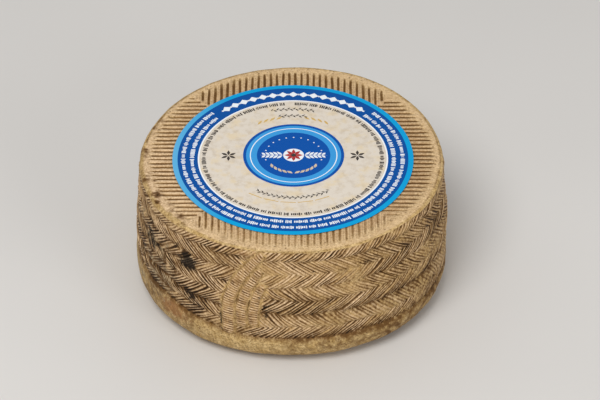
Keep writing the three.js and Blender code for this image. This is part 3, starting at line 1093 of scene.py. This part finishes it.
# %% [markdown]
# The paints are laid over each other by the stored attributes. A stored patch has a soft edge.
# Noise is added to it before the edge is cut sharper, and so the edge comes out ragged, as the
# edges of mould and rust are.

# %% Patches of paint
GREYING = paint(128, 96, 60)


def stored(name):
    return node(tree, "Attribute", attribute_name=name).outputs["Fac"]


def ragged_share(name, amount=0.8, most=1.0):
    """A stored patch whose soft edge is broken up by noise."""
    value = plus(tree, stored(name), times(tree, ragged, amount))
    return stretched(tree, value, 0.35, 0.75, 0.0, most)


colour = mixed(tree, stored("butter"), curd, butter_paint)
# Pale crests, partly painted highlight, and the foot's painted highlight at its lower edge.
colour = mixed(tree, stretched(tree, stored("pale_and_highlight"), 0.05, 0.8), colour, pale_and_highlight_paint)
colour = mixed(tree, ragged_share("rust", 0.8, 0.75), colour, rust_paint)
colour = mixed(tree, ragged_share("mould", 1.0, 0.7), colour, mould_paint)
colour = mixed(tree, stretched(tree, fine, 0.0, 1.0, 0.0, 0.25), colour, GREYING)
print("with patches:", len(tree.nodes), "nodes")

# %% [markdown]
# The ridges of the two faces are straight and even, so the material paints their shade by
# itself. The distance from a middle line is folded at half their pitch, which gives the distance
# from the nearest crest: a faint line of painted shade lies along each crest, and soft painted
# shade darkens the slopes towards the grooves.

# %% Shading of the ridges
x, y, _ = node(tree, "SeparateXYZ", {0: node(tree, "TexCoord").outputs["Object"]}).outputs
x = plus(tree, x, float(MIDDLE[0]) * MM)
y = plus(tree, y, float(MIDDLE[1]) * MM)
x_size = node(tree, "Math", {0: x}, operation="ABSOLUTE").outputs[0]
y_size = node(tree, "Math", {0: y}, operation="ABSOLUTE").outputs[0]
wide = calculated(tree, "GREATER_THAN", x_size, y_size)
across = node(tree, "Mix", {0: wide, 2: x, 3: y}, data_type="FLOAT").outputs[0]
from_crest = calculated(tree, "PINGPONG", across, FACE_PITCH / 2 * MM)
# Painted shade: a thin dark line on each crest, and darkening on the slopes towards the grooves.
crest_shade_line = stretched(tree, from_crest, 0.1 * MM, 0.5 * MM, 0.16, 0.0)
slope_shade = stretched(tree, from_crest, 0.7 * MM, 1.7 * MM, 0.0, 0.2)
ridge_shade = times(tree, plus(tree, crest_shade_line, slope_shade), stored("ridged"))
print("with ridges:", len(tree.nodes), "nodes")

# %% [markdown]
# Soil from all its causes and the painted shade of the grooves, furrows and ridges are added up
# to one amount. A little of it browns the paint, and a lot turns it nearly black. Mould's black,
# the pits' mouths and single specks go over it.

# %% Soil and painted shade
# These browns darken real soil and painted shade alike.
BROWN_SOIL_AND_SHADE, DARK_SOIL_AND_SHADE = paint(100, 66, 28), paint(42, 27, 10)
BLACK_MOULD, PIT_BROWN, SPECK_BROWN = paint(26, 20, 13), paint(104, 74, 40), paint(84, 60, 36)

rough_line = plus(tree, stored("lines"), times(tree, ragged, 0.3))
line = stretched(tree, rough_line, 0.22, 0.8)
uneven = stretched(tree, fine, 0.0, 1.0, -0.08, 0.08)
mottling = stretched(tree, grain, 0.0, 1.0, -0.13, 0.13)
# Painted shade of the grooves, furrows and ridges is added in with the soil.
soil_and_shade = times(tree, line, stored("stain_and_shade"))
soil_and_shade = plus(tree, soil_and_shade, stored("dirt_and_shade"), ridge_shade, uneven, times(tree, mottling, stored("printed")))
colour = mixed(tree, stretched(tree, soil_and_shade, 0.04, 0.45, 0.0, 0.93), colour, BROWN_SOIL_AND_SHADE)
colour = mixed(tree, stretched(tree, soil_and_shade, 0.42, 0.95, 0.0, 0.92), colour, DARK_SOIL_AND_SHADE)
colour = mixed(tree, ragged_share("black", 0.9, 0.93), colour, BLACK_MOULD)
pit_share = times(tree, pit_mouth, stretched(tree, stored("butter"), 0.2, 0.9, 0.15, 0.75))
colour = mixed(tree, pit_share, colour, PIT_BROWN)
colour = mixed(tree, times(tree, specks, 0.4), colour, SPECK_BROWN)
tree.links.new(colour, shader.inputs["Base Color"])
print("with soil:", len(tree.nodes), "nodes")

# %% [markdown]
# The bump carries what is too fine for the mesh: pits, grain and waxy dimples. It is weak, since
# a cured rind is dry and dull, and its roughness follows the fine noise.

# %% Rind surface
tree.links.new(stretched(tree, fine, 0.0, 1.0, 0.5, 0.72), shader.inputs["Roughness"])
surface = calculated(tree, "SUBTRACT", fine, times(tree, pit_mouth, 1.6))
surface = plus(tree, surface, times(tree, noisy(tree, 320, 3.0), 1.5))
bump = node(tree, "Bump", {"Height": surface, "Strength": 0.7, "Distance": 0.0003})
tree.links.new(bump.outputs[0], shader.inputs["Normal"])
wheel.data.materials.clear()
wheel.data.materials.append(rind)
print("rind material:", len(tree.nodes), "nodes")

# %% [markdown]
# ## The paper label
# A sheet of printed paper lies on the ridges. It starts as a ring of edges like the caps, with
# enough rings to wave a little, and the Solidify modifier gives it a paper's edge. Its size and
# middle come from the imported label's box.

# %% Label
low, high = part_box("paper_label")
LABEL = np.array([(low[0] + high[0]) / 2, (low[1] + high[1]) / 2]) / MM
LABEL_RADIUS = (high[0] - low[0]) / 2 / MM
LABEL_TOP = high[2] / MM - 0.03
WAVE = 0.05
SHEET_THICKNESS = 0.25


def paper_height(points):
    """The sheet's height at places in X and Y: it sags a little between slow waves."""
    flat = np.column_stack([points, np.zeros(len(points))])
    return LABEL_TOP - 0.06 + WAVE * waves(flat, 26, 1, seed=13).clip(-1, 1)


rings = [(0, LABEL_RADIUS), (0, LABEL_RADIUS - 0.5)]
rings += [(i, r) for i, r in enumerate(np.linspace(LABEL_RADIUS - 3, 2, 20))]
label, around, _, radius = ringed("label", 240, rings)
on_sheet = LABEL + np.stack([radius * np.sin(around), -radius * np.cos(around)], axis=-1)
set_points(label, np.column_stack([on_sheet, paper_height(on_sheet)]))
in_edit_mode(label, "ALL")
bpy.ops.mesh.normals_make_consistent(inside=False)
bpy.ops.object.mode_set(mode="OBJECT")
if label.data.polygons[0].normal.z < 0:
    label.data.flip_normals()
apply_modifier(label, "SOLIDIFY", thickness=SHEET_THICKNESS * MM, offset=-1.0)
make_active(label)
bpy.ops.object.shade_smooth_by_angle(angle=math.radians(40))
print("label:", triangles(label), "triangles, radius", round(LABEL_RADIUS, 1), "mm")

# %% [markdown]
# ## The label's colours
# The rings of colour are a printed design of circles, so the material reads the distance from
# the label's middle and looks it up in a ramp whose stops are hard edges. The medallion's
# middle lies a little behind the label's, so it has a distance and a ramp of its own.

# %% Rings of colour
paper, tree, shader = new_material("printed paper", Metallic=0.0, Specular_IOR_Level=0.08)
MEDALLION = LABEL + (0.4, 2.9)
MEDALLION_SHARE, CREAM_SHARE, WHITE_SHARE, RIM_SHARE = 0.42, 0.775, 0.788, 0.957
CYAN, DEEP_BLUE, WHITE_INK = (0, 154, 210), (0, 76, 152), (236, 240, 242)
CREAM, MEDALLION_BLUE, MEDALLION_RING = (216, 206, 192), (0, 78, 162), (56, 150, 214)
FIELD_RINGS = [(CREAM_SHARE, CREAM), (WHITE_SHARE, WHITE_INK), (RIM_SHARE, DEEP_BLUE), (1.1, CYAN)]
MEDALLION_RINGS = [(0.302, MEDALLION_BLUE), (0.352, MEDALLION_RING), (0.363, WHITE_INK),
                   (0.391, MEDALLION_RING), (0.5, MEDALLION_BLUE)]


def distance_from(middle):
    """The distance from a middle, as a share of the label's radius."""
    where = node(tree, "TexCoord").outputs["Object"]
    x, y = middle * MM
    flat = node(tree, "VectorMath", {0: where, 1: (1, 1, 0)}, operation="MULTIPLY").outputs[0]
    away = node(tree, "VectorMath", {0: flat, 1: (x, y, 0)}, operation="DISTANCE").outputs["Value"]
    return calculated(tree, "DIVIDE", away, LABEL_RADIUS * MM)


def ringed_colours(distance, rings):
    """Hard-edged rings of colour, each up to its outer share of the label's radius."""
    ramp = node(tree, "ValToRGB", {0: distance})
    ramp.color_ramp.interpolation = "CONSTANT"
    starts = [0.0] + [share for share, _ in rings[:-1]]
    stops = ramp.color_ramp.elements
    while len(stops) < len(rings):
        stops.new(0.5)
    for stop, start, (_, screen) in zip(stops, starts, rings):
        stop.position = start
        stop.color = paint(*screen)
    return ramp.outputs[0]


from_middle = distance_from(LABEL)
from_medallion = distance_from(MEDALLION)
field = ringed_colours(from_middle, FIELD_RINGS)
medallion = ringed_colours(from_medallion, MEDALLION_RINGS)
print("rings of colour:", len(FIELD_RINGS), "on the field,", len(MEDALLION_RINGS), "in the medallion")

# %% [markdown]
# Paper that lies on a cheese takes up fat and is handled. The cream field has faint yellow
# blotches and grey faded places, and the cyan ring has a painted highlight at the left. The print
# has a soft gloss that varies slowly, and a fine grain in its ink.

# %% Printed paper
YELLOWED, FADED = (220, 198, 156), (190, 174, 152)
RING_HIGHLIGHT, BARE_PAPER = (190, 222, 236), (205, 215, 222)

print_grain = noisy(tree, 1400, 3.0)
in_cream = calculated(tree, "LESS_THAN", from_middle, CREAM_SHARE)
blotches = stretched(tree, noisy(tree, 130, 3.0), 0.5, 0.66, 0.0, 0.55)
faded = stretched(tree, noisy(tree, 240, 4.0, 0.6), 0.48, 0.68, 0.0, 0.5)
field = mixed(tree, times(tree, blotches, in_cream), field, paint(*YELLOWED))
field = mixed(tree, times(tree, faded, in_cream), field, paint(*FADED))
x = node(tree, "SeparateXYZ", {0: node(tree, "TexCoord").outputs["Object"]}).outputs[0]
# Painted highlight: the cyan ring grows lighter towards the left.
ring_highlight = stretched(tree, x, -70 * MM, -38 * MM, 0.2, 0.0)
on_rim = calculated(tree, "GREATER_THAN", from_middle, RIM_SHARE)
field = mixed(tree, times(tree, ring_highlight, on_rim), field, paint(*RING_HIGHLIGHT))
in_medallion = calculated(tree, "LESS_THAN", from_medallion, MEDALLION_SHARE)
colour = mixed(tree, in_medallion, field, medallion)
worn_ink = stretched(tree, print_grain, 0.35, 0.75, 0.0, 0.008)
colour = mixed(tree, worn_ink, colour, paint(*BARE_PAPER))
tree.links.new(colour, shader.inputs["Base Color"])
smear = stretched(tree, noisy(tree, 60, 2.0), 0.3, 0.7, 0.34, 0.5)
tree.links.new(smear, shader.inputs["Roughness"])
bump = node(tree, "Bump", {"Height": print_grain, "Strength": 0.15, "Distance": 0.00005})
tree.links.new(bump.outputs[0], shader.inputs["Normal"])
label.data.materials.clear()
label.data.materials.append(paper)
print("label material:", len(tree.nodes), "nodes")

# %% [markdown]
# ## The label's small print
# The design is generic: a chain of lozenges and beads, rows of short bars, twigs, and flowers
# with sprigs in the medallion and beside it. Each motif is one flat shape, copied to its places a
# few hundredths of a millimetre above the paper, so that every edge stays crisp. A leaf is a
# circle drawn out to two points. A bar is a square.

# %% Motifs
INK_HEIGHT = 0.022


def motif(corners):
    deselect_all()
    bpy.ops.mesh.primitive_circle_add(vertices=corners, radius=1, fill_type="NGON")
    return bpy.context.object


def turned_flat(flat, angle):
    cos, sin = math.cos(angle), math.sin(angle)
    return flat @ np.array([[cos, sin], [-sin, cos]])


def laid_out(name, pattern, shape, places, ink):
    """Copies of one motif. places holds x, y, direction, half length and half width of each."""
    outlines = []
    for x, y, direction, long, wide in places:
        flat = turned_flat(shape * (long, wide), direction) + (x, y)
        outlines.append(np.column_stack([flat, paper_height(flat) + INK_HEIGHT]))
    made = copies(name, pattern, outlines)
    made.data.materials.append(ink)
    return made


def printed(name, corners, places, ink, pointed=0.0):
    """Round motifs, or lozenges with 4 corners. Pointed ones become leaves and petals."""
    pattern = motif(corners)
    shape = points_of(pattern)[:, :2] * MM
    if pointed:
        shape[:, 1] *= (1 - abs(shape[:, 0])) ** pointed
    if corners == 4:
        shape = shape[:, ::-1]
    return laid_out(name, pattern, shape, places, ink)


def bars(name, places, ink):
    """Bars need square ends: a square turned by 45 degrees and stretched."""
    pattern = motif(4)
    shape = np.sign(turned_flat(points_of(pattern)[:, :2] * MM, math.pi / 4))
    return laid_out(name, pattern, shape, places, ink)


print("motifs lie", INK_HEIGHT, "mm above the paper")

# %% [markdown]
# Five inks are enough. Each is two near colours mixed by noise, with a faint bump, so that the
# print looks a little worn like the paper round it.

# %% Inks
def new_ink(name, screen, other):
    made, tree, shader = new_material(name, Metallic=0.0, Roughness=0.42)
    worn = stretched(tree, noisy(tree, 1100, 3.0), 0.35, 0.7)
    tree.links.new(mixed(tree, worn, paint(*screen), paint(*other)), shader.inputs["Base Color"])
    bump = node(tree, "Bump", {"Height": worn, "Strength": 0.1, "Distance": 0.00003})
    tree.links.new(bump.outputs[0], shader.inputs["Normal"])
    return made


white_ink = new_ink("white ink", (240, 243, 245), (222, 230, 236))
dark_ink = new_ink("dark ink", (36, 29, 26), (62, 52, 45))
gold_ink = new_ink("gold ink", (196, 158, 84), (212, 180, 112))
red_ink = new_ink("red ink", (178, 34, 34), (150, 26, 28))
cream_ink = new_ink("cream ink", (222, 206, 178), (176, 154, 124))
print("inks:", ", ".join(ink.name for ink in (white_ink, dark_ink, gold_ink, red_ink, cream_ink)))

# %% [markdown]
# Nearly everything on the label follows a ring, so places are given by a radius and an angle.
# Small functions fill a stretch of a ring with bars, dashes, leaves or petals. Their lengths vary
# at random, because evenly repeated bars look like a ruler and not like print.

# %% Filling a ring
FEWEST_BARS, MOST_BARS = 3, 8
BAR_GAP, GROUP_GAP = 0.34, 1.0
LOW_BAR = 0.68
LEAF_STEP, LEAF_ASIDE, LEAF_TURN = 1.5, 0.8, 0.7


def on_ring(radius, degrees, long, wide, turned=0.0, middle=LABEL):
    """A place on a ring round the label. 0 degrees is the front and motifs lie along the ring."""
    angle = math.radians(degrees)
    x = middle[0] + radius * math.sin(angle)
    y = middle[1] - radius * math.cos(angle)
    return x, y, angle + turned, long, wide


def dashes(radius, start, end, wide, shortest, longest, gap, middle=LABEL):
    """Dashes of uneven length along a ring, from one angle to another."""
    places = []
    at = start
    while True:
        long = rng.uniform(shortest, longest)
        span = math.degrees(long / radius)
        if at + span > end:
            return places
        places.append(on_ring(radius, at + span / 2, long / 2, wide, middle=middle))
        at += span + math.degrees(gap / radius)


def small_print(radius, start, end, tall):
    """Groups of short upright bars of two heights along a ring."""
    places = []
    at = start
    while at < end:
        for _ in range(int(rng.integers(FEWEST_BARS, MOST_BARS + 1))):
            long = rng.uniform(0.5, 1.0)
            places.append(on_ring(radius, at, long / 2, tall * rng.choice([LOW_BAR, 1.0])))
            at += math.degrees((long + BAR_GAP) / radius)
        at += math.degrees(GROUP_GAP / radius)
    return places


def twig_leaves(radius, degrees, half_span):
    """Small leaves on both sides of a twig that follows a ring."""
    count = int(2 * half_span * math.radians(1) * radius / LEAF_STEP)
    places = []
    for i, at in enumerate(np.linspace(degrees - half_span, degrees + half_span, count)):
        side_of = 1 if i % 2 else -1
        out, long = radius + LEAF_ASIDE * side_of, rng.uniform(1.1, 1.5)
        places.append(on_ring(out, at, long, 0.42, LEAF_TURN * side_of))
    return places


def flower(middle, petals, away, long, wide):
    """Petals round a middle, each pointing away from it."""
    return [on_ring(away, 360 / petals * i, long, wide, math.pi / 2, middle) for i in range(petals)]


def sprig_leaf(side_of, lean, step):
    """A leaf of the medallion's two sprigs, which grow smaller outwards."""
    x = MEDALLION[0] + side_of * (8.4 + 2.4 * step)
    y = MEDALLION[1] + lean * (1.7 - 0.1 * step)
    direction = lean * side_of * 0.75 + (0 if side_of > 0 else math.pi)
    return x, y, direction, 2.3 - 0.2 * step, 0.85


print("a group of the small print has up to", MOST_BARS, "bars")

# %% [markdown]
# The outer blue ring carries the chain at the back and two rows of bars round the front. A row of
# dark bars runs round the cream field, twigs lie in front of and behind the medallion, and a
# flower stands on each side of it.

# %% Places of the print
CHAIN_RADIUS, CHAIN_STEP = 62.6, 5.7
TWIGS = [(48, 180, 15), (41.5, 180, 11), (37.5, 0, 34)]  # radius, degrees, half span

chain = [on_ring(CHAIN_RADIUS, 180 + d, 3.0, 2.5) for d in np.arange(-40, 41, CHAIN_STEP)]
beads = [on_ring(CHAIN_RADIUS, 180 + d, 0.7, 0.7) for d in np.arange(-42.85, 44, CHAIN_STEP)]
rows_of_print = small_print(65.5, -132, 132, 1.3) + small_print(60.2, -130, 130, 1.3)
ticks = small_print(53.2, -174, 172, 1.35)
leaves = [place for twig in TWIGS for place in twig_leaves(*twig)]
twig_stems = []
side_flowers = []
for radius, degrees, half_span in TWIGS:
    for at in np.arange(degrees - half_span, degrees + half_span, math.degrees(1.4 / radius)):
        twig_stems.append(on_ring(radius, at, 0.75, 0.16))
for side_of in (-1, 1):
    side_flowers += flower(LABEL + (38.5 * side_of, 2.5), 6, 2.7, 2.3, 0.95)
sprig = [sprig_leaf(side_of, lean, step)
         for side_of in (-1, 1) for step in range(5) for lean in (-1, 1)]
small_beads = [on_ring(17.2, d, 0.5, 0.5, middle=MEDALLION) for d in np.arange(75, 286, 15)]
wreath = [on_ring(16.5, side_of * (8 + 11 * i), 2.1, 0.95, side_of * 0.45, MEDALLION)
          for side_of in (-1, 1) for i in range(5)]
gold_leaves = [on_ring(40, 180 + side_of * away, 2.4, 0.8, 0.5 * side_of)
               for side_of in (-1, 1) for away in (12, 18, 24, 30)]
print("places:", len(chain), len(beads), len(rows_of_print), len(ticks), len(leaves), len(sprig))

# %% [markdown]
# Each kind of motif becomes one piece with its ink. The petals lie on the white disc of the
# medallion, and the flower's middle on the petals, so both are raised by a few microns more.

# %% Pieces of print
PETALS_UP, MIDDLE_UP = 0.006, 0.012
x, y = MEDALLION

print_pieces = [
    printed("lozenges", 4, chain, white_ink),
    printed("beads", 10, beads, white_ink),
    bars("print_lines", rows_of_print, white_ink),
    bars("ticks", ticks, dark_ink),
    printed("side_flowers", 12, side_flowers, dark_ink, pointed=0.5),
    printed("twig_leaves", 10, leaves, dark_ink, pointed=0.5),
    bars("twig_stems", twig_stems, dark_ink),
    printed("sprig", 12, sprig, white_ink, pointed=0.5),
    printed("bead_ring", 8, small_beads, white_ink),
    printed("wreath", 12, wreath, cream_ink, pointed=0.5),
    printed("middle_ring", 32, [(x, y, 0, 6.2, 6.2)], white_ink),
    printed("stem_left", 4, [(x - 13, y, 0, 7.4, 0.28)], white_ink),
    printed("stem_right", 4, [(x + 13, y, 0, 7.4, 0.28)], white_ink),
    printed("gold_sprig", 12, gold_leaves, gold_ink, pointed=0.5),
    bars("gold_rule", dashes(42, -38, 38, 0.3, 9, 9.1, 1.2), gold_ink),
]
petals = printed("petals", 12, flower(MEDALLION, 8, 3.0, 2.6, 1.15), red_ink, pointed=0.5)
flower_middle = printed("flower_middle", 16, [(x, y, 0, 1.5, 1.5)], dark_ink)
for piece, up in ((petals, PETALS_UP), (flower_middle, MIDDLE_UP)):
    set_points(piece, points_of(piece) + (0, 0, up))
    print_pieces.append(piece)
print("print:", sum(triangles(piece) for piece in print_pieces), "triangles")

# %% [markdown]
# ## Declaring the pieces
# Nothing moves on a cheese, so every piece rides the one body. The wheel and the label stand
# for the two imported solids, and the print goes with the label.

# %% Pieces
for obj in (wheel, label, *print_pieces):
    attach(obj, "root")
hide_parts("cheese_wheel")
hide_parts("paper_label")
print(len(print_pieces) + 2, "pieces ride on the body root")

# %% [markdown]
# ## Floor, camera and light
# The floor is plain and pale so that the cheese alone is judged. The camera's height, distance
# and lens come from fitting the photograph's perspective: it looks down by 38.8 degrees from
# 2.5 m away with a long lens. A big soft key light from the upper left, a weak fill from the
# right and a bright sky give the soft, even light of a product picture.

# %% Stage
deselect_all()
bpy.ops.mesh.primitive_plane_add(size=8)
floor = bpy.context.object
floor.name = "floor"
floor_paint, tree, shader = new_material("floor", Metallic=0.0, Roughness=0.7)
shade = stretched(tree, noisy(tree, 3, 2.0), 0.3, 0.7)
floor_colour = mixed(tree, shade, paint(214, 211, 207), paint(208, 205, 201))
tree.links.new(floor_colour, shader.inputs["Base Color"])
floor.data.materials.append(floor_paint)


def area_light(name, place, size, power, aim=(0, 0, 0.04)):
    bpy.ops.object.light_add(type="AREA", location=place)
    made = bpy.context.object
    made.name = name
    made.data.shape = "DISK"
    made.data.size = size
    made.data.energy = power
    made.rotation_euler = (Vector(aim) - Vector(place)).to_track_quat("-Z", "Y").to_euler()
    return made


area_light("key", (-0.4, -0.9, 1.5), 0.9, 19)
area_light("fill", (1.1, -1.3, 0.8), 0.9, 6)
world = bpy.context.scene.world or bpy.data.worlds.new("world")
bpy.context.scene.world = world
world.use_nodes = True
background = world.node_tree.nodes["Background"]
background.inputs["Color"].default_value = (1, 1, 1, 1)
background.inputs["Strength"].default_value = 0.5

ELEVATION = math.radians(38.8)
DISTANCE = 2.5
TARGET = Vector((0, 0, 0.042))
SHIFT_RIGHT, SHIFT_UP = 0.00495, 0.0069
up = Vector((0, math.sin(ELEVATION), math.cos(ELEVATION)))
back = Vector((0, -math.cos(ELEVATION), math.sin(ELEVATION)))
place = TARGET + DISTANCE * back + Vector((SHIFT_RIGHT, 0, 0)) + SHIFT_UP * up
bpy.ops.object.camera_add(location=place, rotation=(math.pi / 2 - ELEVATION, 0, 0))
camera = bpy.context.object
camera.data.lens = 248.5
camera.data.sensor_width = 36
bpy.context.scene.camera = camera
bpy.context.scene.view_settings.view_transform = "Standard"
print("camera at", tuple(round(x, 3) for x in place))

# %% [markdown]
# ## Sizes and the finish
# The triangle counts of the wheel and the label are printed last.

# %% Finish
print("wheel", triangles(wheel), "label", triangles(label), "triangles")
